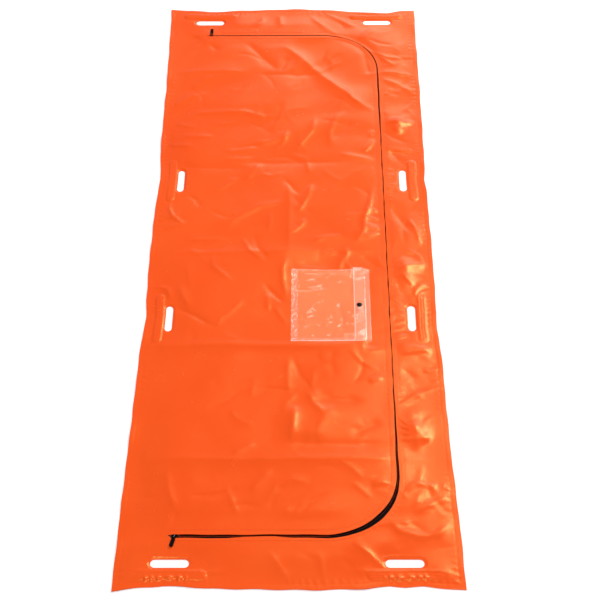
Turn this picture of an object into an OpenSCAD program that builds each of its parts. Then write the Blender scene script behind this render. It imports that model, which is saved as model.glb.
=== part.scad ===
// Flat zipped rescue pouch of PVC sheet, carried by eight hand slots.
// Millimetres. The pouch lies on its back: +Y is the head end, +Z is up,
// and the origin is the middle of its underside.

/* [Sheets] */
// Length over the welded edges
pouch_l = 2200; // [2100:10:2300]
// Width over the welded edges
pouch_w = 800; // [780:10:860]
// Thickness of the PVC sheet
sheet_t = 0.6; // [0.5:0.1:0.7]
// Width of the weld round the outside
rim_w = 14; // [10:1:16]
// Underside of the top sheet where it lies over the grips
band_z = 3; // [2.8:0.1:3.2]
// Underside of the top sheet over the space for the casualty
roof_z = 5.8; // [5.8:0.1:6.4]

/* [Hand slots and grips] */
// Length of a hand slot
slot_l = 90; // [80:1:110]
// Width of a hand slot
slot_w = 23; // [20:1:24]
// Distance between the two slots of one side or one end
slot_gap = 540; // [500:5:560]
// Middle of a side slot to the side edge
side_slot_in = 77; // [76:1:79]
// Middle of an end slot to the end edge
end_slot_in = 69; // [69:1:72]
// Width of the weld round each slot
slot_weld = 6; // [4:1:6]
// Length of a grip insert
grip_l = 170; // [150:5:190]
// Width of a grip insert
grip_w = 28; // [24:1:28]
// Thickness of a grip insert
grip_t = 2; // [1.5:0.1:2.2]

/* [Zip] */
// Middle of the pouch to the long run of the zip
zip_x = 264; // [262:1:264]
// Middle of the pouch to the short runs of the zip
zip_y = 957; // [950:1:958]
// Radius of the zip's two corners
zip_r = 175; // [150:5:200]
// Fold line of the opening flap
fold_x = -278; // [-280:1:-276]
// Gap between the two edges of sheet over the zip
lip_gap = 3.6; // [3.4:0.1:4]
// Width of each half of the tape
tape_w = 17; // [15:0.5:17]
// Distance from the zip's middle to the stitching
stitch_in = 15; // [13:0.5:15]
// Middle of each slider to the middle of the pouch
slider_x = -262; // [-263:1:-260]

/* [Pulls] */
// Width of a pull tab
tab_w = 9; // [8:0.5:10]
// Distance from the crown's bar to the end of the pull tab
pull_l = 33; // [26:1:36]
// Lean of the foot pull, in degrees
foot_lean = 14; // [0:1:15]

/* [Document pocket] */
// Left edge of the pocket
pocket_x = 3; // [0:1:10]
// Length of the pocket's back film along X
pocket_l = 210; // [205:1:215]
// Foot edge of the pocket
pocket_y = -358; // [-370:1:-340]
// Size of the pocket along Y
pocket_h = 266; // [250:1:290]
// Thickness of the clear film
film_t = 0.3; // [0.2:0.1:0.3]
// Clear height inside the pocket
pocket_room = 5.2; // [5.2:0.1:5.6]
// Width of the lid's flat part, from the fold to the free edge
lid_w = 43; // [40:1:46]
// Diameter of the snap's cap
snap_d = 15; // [14:0.5:16]

/* [Hidden] */
$fn = 64;
eps = 0.01;
half_l = pouch_l / 2;
half_w = pouch_w / 2;
roof_top = roof_z + sheet_t;

// The eight hand slots: [name, x, y, angle of the slot, way out to the edge]
side_x = half_w - side_slot_in;
end_y = half_l - end_slot_in;
SLOTS = [
    ["head_left", -slot_gap / 2, end_y, 0, [0, 1]],
    ["head_right", slot_gap / 2, end_y, 0, [0, 1]],
    ["right_upper", side_x, slot_gap / 2, 90, [1, 0]],
    ["right_lower", side_x, -slot_gap / 2, 90, [1, 0]],
    ["foot_right", slot_gap / 2, -end_y, 0, [0, -1]],
    ["foot_left", -slot_gap / 2, -end_y, 0, [0, -1]],
    ["left_lower", -side_x, -slot_gap / 2, 90, [-1, 0]],
    ["left_upper", -side_x, slot_gap / 2, 90, [-1, 0]]
];
grip_gap = 1.5;
grip_out = slot_w / 2 + slot_weld + grip_gap + grip_w / 2;

// Slopes of the top sheet: the rim, the band with the slots, and the roof
rim_slope = 6;
end_flat = 2;
band_in_x = side_x - slot_w / 2 - slot_weld - grip_gap;
band_in_y = end_y - slot_w / 2 - slot_weld - grip_gap - end_flat;
roof_out = 22;

// The zip's corners
bend_x = zip_x - zip_r;
bend_y = zip_y - zip_r;

// The zip's section: a coil each side of a gap, and tape out to the sheet
coil_z = 3.2;
coil_t = 2;
coil_w = 3;
coil_gap = 1.6;
coil_bevel = 0.6;
tape_t = 0.6;
tape_flat = 6.5;
tape_rise = 9.5;
thread_w = 0.8;
thread_h = 0.3;

// The slider: two blades, a web between the coils, flanges beside them, a crown
slider_l = 16;
slider_w = 12;
blade_t = 1;
blade_gap = 2.6;
web_l = 6;
web_w = 1;
flange_l = 10;
flange_w = 1.4;
flange_gap = 1.3;
nose_l = 2;
nose_cut = 1.6;
blade_corner = 1;
crown_w = 2.4;
crown_l = 10;
leg_l = 1.6;
bar_r = 0.8;
clear = 0.3;

// A stop past each end of the slit, on the whole tape behind the parked slider
stop_l = 3;
stop_h = 2.6;
stop_over = 0.4;
stop_back = 1;
park_gap = 2;
stop_w = coil_gap + 2 * (coil_w + stop_over);
stop_x = slider_x - slider_l / 2 - park_gap - stop_l;
whole_tape_l = 15;
inner_start = slider_x + slider_l / 2 + park_gap;

// The pull's link, a long loop of wire that stands on edge round the crown's bar
wire_r = 0.6;
link_r = bar_r + clear + wire_r;
link_l = 7;
bar_z = roof_top + clear + link_r + wire_r;

// The pull's tab: a boss moulded round the link, then a flat grip
tab_t = 2;
boss_over = 0.4;
boss_l = 4;
boss_slope = 2;
boss_w = 7.6;
boss_far_w = 8.4;
shoulder_l = 8;
tab_corner = 3;

// The pocket's front film, which is a shallow tray on the back film
back_z = roof_top;
floor_z = back_z + film_t;
front_z = floor_z + pocket_room;
pocket_end = pocket_x + pocket_l;
pocket_head = pocket_y + pocket_h;
mouth_x = pocket_end - 13;
left_weld = 18;
side_weld = 8;
film_slope = 9;
past_mouth = 60;

// The snap, from below: post, stud, socket, cap
snap_x = pocket_end - 29;
snap_y = pocket_y + pocket_h * 0.47;
post_t = 0.6;
post_r = 5;
stud_r = 5.2;
stud_base_t = 0.8;
nub_r = 3.3;
nub_h = 1.4;
socket_r = 6;
socket_t = 2;
socket_bore_r = 4.2;
rivet_r = 1.8;
socket_roof = 0.4;
snap_gap = 0.2;
cap_h = 2.1;
lid_z = front_z + film_t + stud_base_t + snap_gap + socket_t;
lid_rise = 17;
lid_short = 3;

ORANGE = "orangered";
DARK = "#202020";
CLEAR = [1, 0.85, 0.75, 0.45];

// A rectangle about the middle of the pouch, at height z
function rect(hx, hy, z) = [-hx, hx, -hy, hy, z];

// The four corners of a rectangle [x0, x1, y0, y1, z], lifted by up
function corners(r, up) =
    [for (c = [[0, 2], [1, 2], [1, 3], [0, 3]]) [r[c[0]], r[c[1]], r[4] + up]];

// A sheet of thickness t that steps from one rectangle to the next, outside to inside
module dished_sheet(rects, t) {
    n = len(rects);
    top = 4 * n;
    points = [for (up = [0, t]) for (r = rects) each corners(r, up)];
    slopes = [for (i = [0:n - 2]) for (k = [0:3])
        let (a = 4 * i + k, b = 4 * i + (k + 1) % 4) [a, b, b + 4, a + 4]];
    caps = [[top - 4, top - 3, top - 2, top - 1]];
    walls = [for (k = [0:3]) let (b = (k + 1) % 4) [k, k + top, b + top, b]];
    below = concat(slopes, caps);
    above = [for (f = below) [for (i = [3:-1:0]) f[i] + top]];
    polyhedron(points, concat(below, above, walls));
}

// A slot's outline, grown by d all round
module slot_outline(l, w, d = 0) {
    for (s = [-1, 1])
        translate([s * (l - w) / 2, 0])
            circle(w / 2 + d);
    square([l - w, w + 2 * d], center = true);
}

// All eight slots, grown by d, from z0 to z1
module slots(d, z0, z1) {
    for (s = SLOTS)
        translate([s[1], s[2], z0])
            rotate(s[3])
                linear_extrude(z1 - z0)
                    slot_outline(slot_l, slot_w, d);
}

// What the zip encloses, grown by d, from the fold line to the right
module inside_zip(d, left, z0, h) {
    translate([left, -(zip_y + d), z0])
        cube([bend_x - left, 2 * (zip_y + d), h]);
    translate([bend_x - eps, -bend_y, z0])
        cube([zip_r + d + eps, 2 * bend_y, h]);
    for (s = [-1, 1])
        translate([bend_x, s * bend_y, z0])
            cylinder(r = zip_r + d, h = h, $fn = 180);
}

// Sweep a section along the zip. In it, x is the distance outwards and y the height.
module along_zip(left) {
    for (m = [0, 1])
        mirror([0, m, 0]) {
            translate([left, zip_y, 0])
                rotate([90, 0, 90])
                    linear_extrude(bend_x - left)
                        children();
            translate([bend_x, bend_y, 0])
                rotate_extrude(angle = 90, $fn = 180)
                    translate([zip_r, 0])
                        children();
        }
    translate([zip_x, bend_y, 0])
        rotate([90, 0, 0])
            linear_extrude(2 * bend_y)
                children();
}

// One half of the tape, outwards from the zip when side is 1
module tape_section(side) {
    edge = coil_gap / 2 + coil_w;
    low = coil_z - tape_t / 2;
    high = roof_z - tape_t;
    polygon([for (p = [
        [edge, low], [tape_flat, low], [tape_rise, high], [tape_w, high],
        [tape_w, high + tape_t], [tape_rise - 0.5, high + tape_t],
        [tape_flat - 0.5, low + tape_t], [edge, low + tape_t]
    ]) [side * p[0], p[1]]]);
}

// One half of the coil, an oval drawn with flats
module coil_section(side) {
    c = coil_bevel;
    a = coil_gap / 2;
    b = a + coil_w;
    z0 = coil_z - coil_t / 2;
    z1 = coil_z + coil_t / 2;
    polygon([for (p = [
        [a + c, z0], [b - c, z0], [b, z0 + c], [b, z1 - c],
        [b - c, z1], [a + c, z1], [a, z1 - c], [a, z0 + c]
    ]) [side * p[0], p[1]]]);
}

module bottom_sheet() {
    color(ORANGE)
        difference() {
            translate([-half_w, -half_l, 0])
                cube([pouch_w, pouch_l, sheet_t]);
            slots(0, -1, sheet_t + 1);
        }
}

module border_sheet() {
    color(ORANGE)
        difference() {
            union() {
                dished_sheet([
                    rect(half_w, half_l, sheet_t),
                    rect(half_w - rim_w, half_l - rim_w, sheet_t),
                    rect(half_w - rim_w - rim_slope, half_l - rim_w - rim_slope, band_z),
                    rect(band_in_x, band_in_y, band_z),
                    rect(zip_x + roof_out, zip_y + roof_out, roof_z)
                ], sheet_t);
                slots(slot_weld, sheet_t, band_z + sheet_t / 2);
            }
            slots(0, 0, roof_z);
            inside_zip(lip_gap / 2, fold_x, 1, roof_z + 1);
        }
}

module opening_flap() {
    color(ORANGE)
        inside_zip(-lip_gap / 2, fold_x + 0.4, roof_z, sheet_t);
}

// A flat strip with round ends, outside its slot
module grip_insert(s) {
    color("white")
        translate([s[1] + s[4][0] * grip_out, s[2] + s[4][1] * grip_out, sheet_t])
            rotate(s[3])
                linear_extrude(grip_t)
                    slot_outline(grip_l, grip_w);
}

// The outer tape also runs on past both ends of the slit, where it is whole,
// and is notched for the closed end of each stop
module zip_tape_outer() {
    tape_z = coil_z - tape_t / 2;
    end_x = stop_x + stop_l;
    color("darkred") {
        along_zip(end_x)
            tape_section(1);
        for (m = [0, 1])
            mirror([0, m, 0])
                difference() {
                    translate([end_x - whole_tape_l, zip_y - tape_w, tape_z])
                        cube([whole_tape_l, 2 * tape_w, tape_t]);
                    translate([end_x - stop_back, zip_y - stop_w / 2, tape_z - 1])
                        cube([stop_back + 1, stop_w, tape_t + 2]);
                }
    }
}

module zip_tape_inner() {
    color("darkred")
        along_zip(inner_start)
            tape_section(-1);
}

module zip_coil_outer() {
    color(DARK)
        along_zip(stop_x + stop_l + clear)
            coil_section(1);
}

module zip_coil_inner() {
    color(DARK)
        along_zip(inner_start)
            coil_section(-1);
}

// A row of thread that lies on the sheet
module stitching(side, left) {
    color("orange")
        along_zip(left)
            translate([side * stitch_in - thread_w / 2, roof_top])
                square([thread_w, thread_h]);
}

// A clip across both halves of the tape, with the tape between its jaws
module zip_stop(m) {
    color("silver")
        mirror([0, m, 0])
            translate([stop_x, zip_y - stop_w / 2, coil_z])
                difference() {
                    translate([0, 0, -stop_h / 2])
                        cube([stop_l, stop_w, stop_h]);
                    translate([-1, -1, -tape_t / 2])
                        cube([1 + stop_l - stop_back, stop_w + 2, tape_t]);
                }
}

// Plan of a slider's blade, narrower at the end where the coils join
module blade_outline() {
    l = slider_l / 2;
    w = slider_w / 2;
    c = blade_corner;
    polygon([
        [-l, nose_cut - w], [nose_l - l, -w], [l - c, -w], [l, c - w],
        [l, w - c], [l - c, w], [nose_l - l, w], [-l, w - nose_cut]
    ]);
}

module slider() {
    low = coil_z - blade_gap / 2;
    high = coil_z + blade_gap / 2;
    flange_h = (blade_gap - flange_gap) / 2;
    color(DARK) {
        for (z = [low - blade_t, high])
            translate([0, 0, z])
                linear_extrude(blade_t)
                    blade_outline();
        translate([-web_l / 2, -web_w / 2, low])
            cube([web_l, web_w, blade_gap]);
        for (s = [-1, 1], z = [low, high - flange_h])
            translate([-flange_l / 2, s * (slider_w - flange_w) / 2 - flange_w / 2, z])
                cube([flange_l, flange_w, flange_h]);
        for (s = [-1, 1])
            translate([s * (crown_l - leg_l) / 2 - leg_l / 2, -crown_w / 2, high + blade_t])
                cube([leg_l, crown_w, bar_z - high - blade_t]);
        translate([-crown_l / 2, 0, bar_z])
            rotate([0, 90, 0])
                cylinder(r = bar_r, h = crown_l);
        for (s = [-1, 1])
            translate([s * (crown_l - leg_l) / 2 - leg_l / 2, 0, bar_z])
                rotate([0, 90, 0])
                    cylinder(r = crown_w / 2, h = leg_l);
    }
}

// Put something at a slider: the head one is the mirror of the foot one
module at_slider(m) {
    mirror([0, m, 0])
        translate([slider_x, -zip_y, 0])
            children();
}

// The link points to -Y and turns about X at the crown's bar
module pull_link() {
    color("silver")
        translate([0, 0, bar_z])
            rotate([0, -90, 0]) {
                for (e = [0, 1])
                    translate([0, -e * link_l, 0])
                        rotate(e * 180)
                            rotate_extrude(angle = 180)
                                translate([link_r, 0])
                                    circle(wire_r, $fn = 24);
                for (s = [-1, 1])
                    translate([s * link_r, 0, 0])
                        rotate([90, 0, 0])
                            cylinder(r = wire_r, h = link_l, $fn = 24);
            }
}

// A moulded tab round the far end of the link, thick at the link and thin beyond
module pull_tab() {
    z0 = roof_top + 2 * clear;
    z1 = 2 * bar_z - z0;
    y0 = boss_over - link_l;
    y1 = y0 - boss_l;
    w = tab_w / 2;
    side = [
        [y0, z0], [-pull_l, z0], [-pull_l, z0 + tab_t],
        [y1 - boss_slope, z0 + tab_t], [y1, z1], [y0, z1]
    ];
    half_plan = [
        [boss_w / 2, y0], [boss_far_w / 2, y1], [w, y0 - shoulder_l],
        [w, tab_corner - pull_l], [w - tab_corner, -pull_l]
    ];
    plan = concat(half_plan, [for (i = [len(half_plan) - 1:-1:0])
        [-half_plan[i][0], half_plan[i][1]]]);
    color(DARK)
        difference() {
            intersection() {
                translate([-w, 0, 0])
                    rotate([90, 0, 90])
                        linear_extrude(tab_w)
                            polygon(side);
                linear_extrude(z1 + 1)
                    polygon(plan);
            }
            pull_link();
        }
}

module pocket_back_film() {
    color(CLEAR)
        translate([pocket_x, pocket_y, back_z])
            cube([pocket_l, pocket_h, film_t]);
}

// One rectangle of the front film's tray, which is cut off at the mouth
function tray(across, along, z) = [
    pocket_x + across, pocket_end + past_mouth - across,
    pocket_y + along, pocket_head - along, z
];

// Welded to the back film on three sides, and open at the right
module pocket_front_film() {
    color(CLEAR)
        difference() {
            dished_sheet([
                tray(0, 0, floor_z),
                tray(left_weld, side_weld, floor_z),
                tray(left_weld + film_slope, side_weld + film_slope, front_z)
            ], film_t);
            translate([mouth_x, pocket_y - 1, 0])
                cube([2 * past_mouth, pocket_h + 2, front_z + 1]);
            translate([snap_x, snap_y, 0])
                cylinder(r = rivet_r, h = front_z + 1);
        }
}

// Folded up from the mouth and over the front film
module pocket_lid() {
    z0 = floor_z + 2 * clear;
    rise_x = pocket_end - lid_rise;
    free_x = pocket_end - lid_w;
    color(CLEAR)
        difference() {
            translate([0, pocket_head - lid_short, 0])
                rotate([90, 0, 0])
                    linear_extrude(pocket_h - 2 * lid_short)
                        polygon([
                            [pocket_end, z0], [rise_x, lid_z], [free_x, lid_z],
                            [free_x, lid_z + film_t], [rise_x + film_t / 2, lid_z + film_t],
                            [pocket_end + film_t, z0 + film_t / 3]
                        ]);
            translate([snap_x, snap_y, 0])
                cylinder(r = rivet_r, h = lid_z + 1);
        }
}

// A shallow dome with its rivet through the lid
module snap_cap() {
    dome_r = (pow(snap_d / 2, 2) + pow(cap_h, 2)) / (2 * cap_h);
    color(DARK)
        translate([snap_x, snap_y, lid_z + film_t]) {
            intersection() {
                translate([0, 0, cap_h - dome_r])
                    sphere(dome_r, $fn = 128);
                cylinder(r = snap_d / 2, h = cap_h);
            }
            translate([0, 0, -film_t - socket_roof])
                cylinder(r = rivet_r, h = film_t + socket_roof);
        }
}

module snap_socket() {
    color("dimgray")
        translate([snap_x, snap_y, lid_z - socket_t])
            difference() {
                cylinder(r = socket_r, h = socket_t);
                translate([0, 0, -1])
                    cylinder(r = socket_bore_r, h = socket_t + 1 - socket_roof);
                cylinder(r = rivet_r, h = socket_t + 1);
            }
}

module snap_stud() {
    color("dimgray")
        translate([snap_x, snap_y, front_z + film_t])
            difference() {
                union() {
                    cylinder(r = stud_r, h = stud_base_t);
                    cylinder(r = nub_r, h = stud_base_t + nub_h);
                }
                translate([0, 0, -1])
                    cylinder(r = rivet_r, h = 1 + stud_base_t);
            }
}

module snap_post() {
    color("dimgray")
        translate([snap_x, snap_y, front_z - post_t]) {
            cylinder(r = post_r, h = post_t);
            cylinder(r = rivet_r, h = post_t + film_t + stud_base_t);
        }
}

bottom_sheet();
border_sheet();
opening_flap();
for (s = SLOTS) grip_insert(s);
zip_tape_outer();
zip_tape_inner();
zip_coil_outer();
zip_coil_inner();
stitching(1, fold_x + 4);  // zip_stitching_outer
stitching(-1, fold_x + 4);  // zip_stitching_inner
zip_stop(0);  // zip_stop_head
zip_stop(1);  // zip_stop_foot
at_slider(1) slider();  // head_slider
at_slider(0) slider();  // foot_slider
at_slider(1) pull_link();  // head_pull_link
at_slider(1) pull_tab();  // head_pull_tab
at_slider(0) rotate(-foot_lean) pull_link();  // foot_pull_link
at_slider(0) rotate(-foot_lean) pull_tab();  // foot_pull_tab
pocket_back_film();
pocket_front_film();
pocket_lid();
snap_cap();
snap_socket();
snap_stud();
snap_post();
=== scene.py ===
import math

import bpy
import numpy as np
from mathutils import Matrix, Vector
from mathutils.geometry import delaunay_2d_cdt


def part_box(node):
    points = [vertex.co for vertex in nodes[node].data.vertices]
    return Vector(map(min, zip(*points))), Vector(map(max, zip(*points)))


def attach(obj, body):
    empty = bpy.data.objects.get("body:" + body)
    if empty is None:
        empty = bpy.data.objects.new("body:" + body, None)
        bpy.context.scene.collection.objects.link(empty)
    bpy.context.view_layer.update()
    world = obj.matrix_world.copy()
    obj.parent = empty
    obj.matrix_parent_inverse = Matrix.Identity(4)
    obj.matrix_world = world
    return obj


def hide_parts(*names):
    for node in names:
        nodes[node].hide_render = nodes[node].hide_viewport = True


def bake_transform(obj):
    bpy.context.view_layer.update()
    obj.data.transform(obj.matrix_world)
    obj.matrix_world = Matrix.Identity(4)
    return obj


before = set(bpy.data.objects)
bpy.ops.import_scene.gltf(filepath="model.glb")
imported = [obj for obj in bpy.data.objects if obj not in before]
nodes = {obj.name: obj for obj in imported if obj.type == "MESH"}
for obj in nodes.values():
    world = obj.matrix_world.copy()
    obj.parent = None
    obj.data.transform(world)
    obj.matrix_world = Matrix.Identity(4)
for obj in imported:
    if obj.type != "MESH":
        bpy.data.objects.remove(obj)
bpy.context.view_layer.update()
scene = bpy.context.scene

# ---------------------------------------------------------------- the studio
# A pale plain floor under soft light, and a camera that stands at the foot end
# and looks down the length of the pouch from about 2.9 m up.

camera_at = Vector((0.0553, -2.8993, 2.879))
look_down = math.radians(46.86)
look_round = math.radians(0.618)
roll = math.radians(-0.5345)
forward = Vector((
    -math.sin(look_round) * math.cos(look_down),
    math.cos(look_round) * math.cos(look_down),
    -math.sin(look_down)))
level = Vector((math.cos(look_round), math.sin(look_round), 0))
upright = level.cross(forward)
right = math.cos(roll) * level + math.sin(roll) * upright
up = math.cos(roll) * upright - math.sin(roll) * level
camera = bpy.data.objects.new("camera", bpy.data.cameras.new("camera"))
camera.data.lens = 88.4
camera.data.sensor_width = 36
camera.data.clip_end = 60
camera.matrix_world = Matrix((
    (right.x, up.x, -forward.x, camera_at.x),
    (right.y, up.y, -forward.y, camera_at.y),
    (right.z, up.z, -forward.z, camera_at.z),
    (0, 0, 0, 1)))
scene.collection.objects.link(camera)
scene.camera = camera
scene.view_settings.view_transform = "Standard"


def softbox(name, at, aim, width, height, watts):
    """An evenly lit panel that faces the point it is aimed at."""
    lamp = bpy.data.lights.new(name, "AREA")
    lamp.shape = "RECTANGLE"
    lamp.size, lamp.size_y = width, height
    lamp.energy = watts
    panel = bpy.data.objects.new(name, lamp)
    panel.location = at
    panel.rotation_euler = (Vector(aim) - Vector(at)).to_track_quat("-Z", "Y").to_euler()
    scene.collection.objects.link(panel)


softbox("softbox_key", (2.5, 2.1, 3.2), (0.1, 0.1, 0), 1.8, 1.8, 132)
softbox("softbox_front", (-0.3, -1.9, 4.2), (0.1, 0.2, 0), 3.4, 1.2, 72)
softbox("panel_right", (0.75, 1.85, 3.1), (0.3, -0.6, 0), 1.0, 0.6, 6.5)
softbox("back_wall", (1.8, 6.0, 2.4), (0.4, 0, 0), 4.0, 2.6, 64)

world = bpy.data.worlds.new("room")
world.use_nodes = True
world.node_tree.nodes["Background"].inputs["Color"].default_value = (1, 1, 1, 1)
world.node_tree.nodes["Background"].inputs["Strength"].default_value = 0.33
scene.world = world

floor_paint = bpy.data.materials.new("floor_paint")
floor_paint.use_nodes = True
floor_shader = floor_paint.node_tree.nodes["Principled BSDF"]
floor_shader.inputs["Base Color"].default_value = (0.93, 0.93, 0.93, 1)
floor_shader.inputs["Roughness"].default_value = 0.9
floor_shader.inputs["Specular IOR Level"].default_value = 0.1
floor_shader.inputs["Emission Color"].default_value = (1, 1, 1, 1)
floor_shader.inputs["Emission Strength"].default_value = 0.14
floor_mesh = bpy.data.meshes.new("floor")
floor_mesh.from_pydata(
    [(-14, -14, -0.0002), (14, -14, -0.0002), (14, 14, -0.0002), (-14, 14, -0.0002)],
    [], [(0, 1, 2, 3)])
floor_mesh.materials.append(floor_paint)
floor = bpy.data.objects.new("floor", floor_mesh)
scene.collection.objects.link(floor)

# ---------------------------------------------------------- the bottom sheet
# One piece of orange PVC-coated cloth, 0.6 mm thick, that lies flat on the
# floor. It is cut to the outline with its eight hand slots punched through,
# and everything else is welded or sewn on top of it. All sizes are in mm.

half_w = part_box("bottom_sheet")[1].x * 1000
half_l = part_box("bottom_sheet")[1].y * 1000
sheet_t = 0.6
slot_l, slot_w = 90, 23
slot_at = [
    (-270, 1031, False), (270, 1031, False), (323, 270, True), (323, -270, True),
    (270, -1031, False), (-270, -1031, False), (-323, -270, True), (-323, 270, True)]


def from_edge(x, y):
    """How far inside the straight outline a point is."""
    return np.minimum(half_w - np.abs(x), half_l - np.abs(y))


def from_strip(x, y, at, length, width):
    """How far outside a round-ended strip a point is, and how far along it."""
    across, along = x - at[0], y - at[1]
    if not at[2]:
        across, along = along, across
    past = np.maximum(np.abs(along) - (length - width) / 2, 0)
    return np.hypot(past, across) - width / 2, across, along


def from_slots(x, y):
    """How far outside the nearest hand slot a point is."""
    return np.min([from_strip(x, y, s, slot_l, slot_w)[0] for s in slot_at], axis=0)


def smooth(low, high, t):
    """Goes from 0 at low to 1 at high, with soft ends."""
    t = np.clip((t - low) / (high - low), 0, 1)
    return t * t * (3 - 2 * t)


def strip_ring(at, length, width, step):
    """Points round a round-ended strip."""
    r, half = width / 2, (length - width) / 2
    flat = np.linspace(-half, half, max(2, round(2 * half / step) + 1))
    turn = np.linspace(0, math.pi, max(5, round(math.pi * r / step) + 1))[1:-1]
    along = np.concatenate([flat, half + r * np.sin(turn), -flat, -half - r * np.sin(turn)])
    across = np.concatenate([
        np.full(len(flat), -r), -r * np.cos(turn), np.full(len(flat), r), r * np.cos(turn)])
    if at[2]:
        along, across = across, along
    return np.stack([at[0] + along, at[1] + across], 1)


def outline_ring(inset, step):
    """Points round the outline, set in from it."""
    w, l = half_w - inset, half_l - inset
    xs = np.linspace(-w, w, round(2 * w / step) + 1)
    ys = np.linspace(-l, l, round(2 * l / step) + 1)
    return np.concatenate([
        np.stack([xs[:-1], np.full(len(xs) - 1, -l)], 1),
        np.stack([np.full(len(ys) - 1, w), ys[:-1]], 1),
        np.stack([xs[:0:-1], np.full(len(xs) - 1, l)], 1),
        np.stack([np.full(len(ys) - 1, -w), ys[:0:-1]], 1)])


def staggered(x0, x1, y0, y1, step):
    """Points in staggered rows over a rectangle."""
    rows = np.arange(y0, y1, step * 0.87)
    cols = np.arange(x0, x1, step)
    x, y = np.meshgrid(cols, rows)
    x = x + (np.arange(len(rows)) % 2)[:, None] * step / 2
    return np.stack([x.ravel(), y.ravel()], 1)


def cut_cloth(loops, extra, keep, gap=1.9):
    """Triangles over a piece of cloth whose edges are loops. extra are points inside
    it, thinned where they crowd, and keep says which points lie on the cloth."""
    fixed = np.concatenate(loops)
    edges, start = [], 0
    for loop in loops:
        n = len(loop)
        edges += [(start + i, start + (i + 1) % n) for i in range(n)]
        start += n
    points = np.concatenate([fixed, extra])
    cell = np.floor(points / gap).astype(int)
    first = np.sort(np.unique(cell, axis=0, return_index=True)[1])
    extra = points[first[first >= start]]
    extra = extra[keep(extra[:, 0], extra[:, 1], 1.2)]
    points = np.concatenate([fixed, extra])
    out = delaunay_2d_cdt([tuple(p) for p in points], edges, [], 0, 1e-6)
    points = np.array([tuple(p) for p in out[0]])
    faces = np.array(out[2])
    middle = points[faces].mean(1)
    return points, faces[keep(middle[:, 0], middle[:, 1], 0)]


def drawn_in(x, y):
    """Where a point of the cut cloth lies once its edges have pulled out of line."""
    left = np.interp(y, [-1100, -850, -600, -400, -350, -262, -200, -100, 0, 150, 230, 275,
                         320, 380, 500, 700, 850, 1000, 1100],
                     [3, 5, 9, 11, 13, 19, 15, 12, 12, 13, 16, 20, 17, 12, 10, 9, 6, 3, 0])
    right_edge = np.interp(y, [-1100, -950, -700, -545, -400, -310, -262, -200, 0, 230, 275,
                               330, 450, 700, 900, 1000, 1100],
                           [6, 4, -4, -6, -7, -14, -13, -11, -10, -12, -15, -12, -10, -8, -8, -7, -5])
    head = np.interp(x, [-400, -330, -275, -220, -100, 0, 100, 200, 240, 310, 350, 400],
                     [2, -1, -9, -6, 0, 5, 0, -10, -16, -17, -7, -3])
    foot = np.interp(x, [-400, -330, -280, -230, -180, -60, 60, 180, 235, 270, 310, 400],
                     [-4, 6, 9, 8, 3, 1, -1, 2, 9, 6, 8, -2])
    near_left = smooth(300, half_w, -x)
    near_right = smooth(310, half_w, x)
    near_head = smooth(1035, half_l, y)
    near_foot = smooth(1035, half_l, -y)
    wave = 0.9 * np.sin(y / 19) * np.sin(y / 67 + 1)
    return (x + near_left * (left + wave) + near_right * (right_edge + wave),
            y + near_head * (head + np.sin(x / 17)) + near_foot * (foot + np.sin(x / 15)))


def lay_uvs(mesh, flat):
    """Gives the points of a mesh their places on the flat cut as UVs, in metres."""
    uv = mesh.uv_layers.new(name="cut")
    corner = np.zeros(len(mesh.loops), np.int32)
    mesh.loops.foreach_get("vertex_index", corner)
    uv.data.foreach_set("uv", (flat * 0.001)[corner].ravel())


def sewn_up(name, flat, faces, top, thick, finish):
    """A closed mesh of cloth. flat is the cut, and gives its UVs in metres; top its upper face."""
    n = len(flat)
    under = top - np.array([0, 0, thick])
    pairs = np.concatenate([faces[:, [0, 1]], faces[:, [1, 2]], faces[:, [2, 0]]])
    key = np.sort(pairs, 1) @ np.array([n, 1])
    _, where, count = np.unique(key, return_index=True, return_counts=True)
    a, b = pairs[where[count == 1]].T
    walls = np.stack([a, a + n, b + n, b], 1)
    mesh = bpy.data.meshes.new(name)
    mesh.from_pydata(
        np.concatenate([top, under]) * 0.001, [],
        faces.tolist() + (faces[:, ::-1] + n).tolist() + walls.tolist())
    lay_uvs(mesh, np.concatenate([flat, flat]))
    mesh.shade_smooth()
    mesh.update()
    rim = set(map(tuple, np.sort(np.concatenate([
        np.stack([a, b], 1), np.stack([a + n, b + n], 1)]), 1).tolist()))
    ends = np.zeros(len(mesh.edges) * 2, np.int32)
    mesh.edges.foreach_get("vertices", ends)
    sharp = [tuple(sorted(e)) in rim for e in ends.reshape(-1, 2).tolist()]
    mesh.attributes.new("sharp_edge", "BOOLEAN", "EDGE").data.foreach_set("value", sharp)
    mesh.materials.append(finish)
    piece = bpy.data.objects.new(name, mesh)
    scene.collection.objects.link(piece)
    return piece


def node_of(tree, kind, **sockets):
    """A new node, with plain values or links put on its named inputs."""
    made = tree.nodes.new(kind)
    for name, value in sockets.items():
        socket = made.inputs[name.replace("_", " ")]
        if isinstance(value, bpy.types.NodeSocket):
            tree.links.new(value, socket)
        else:
            socket.default_value = value
    return made


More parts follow.
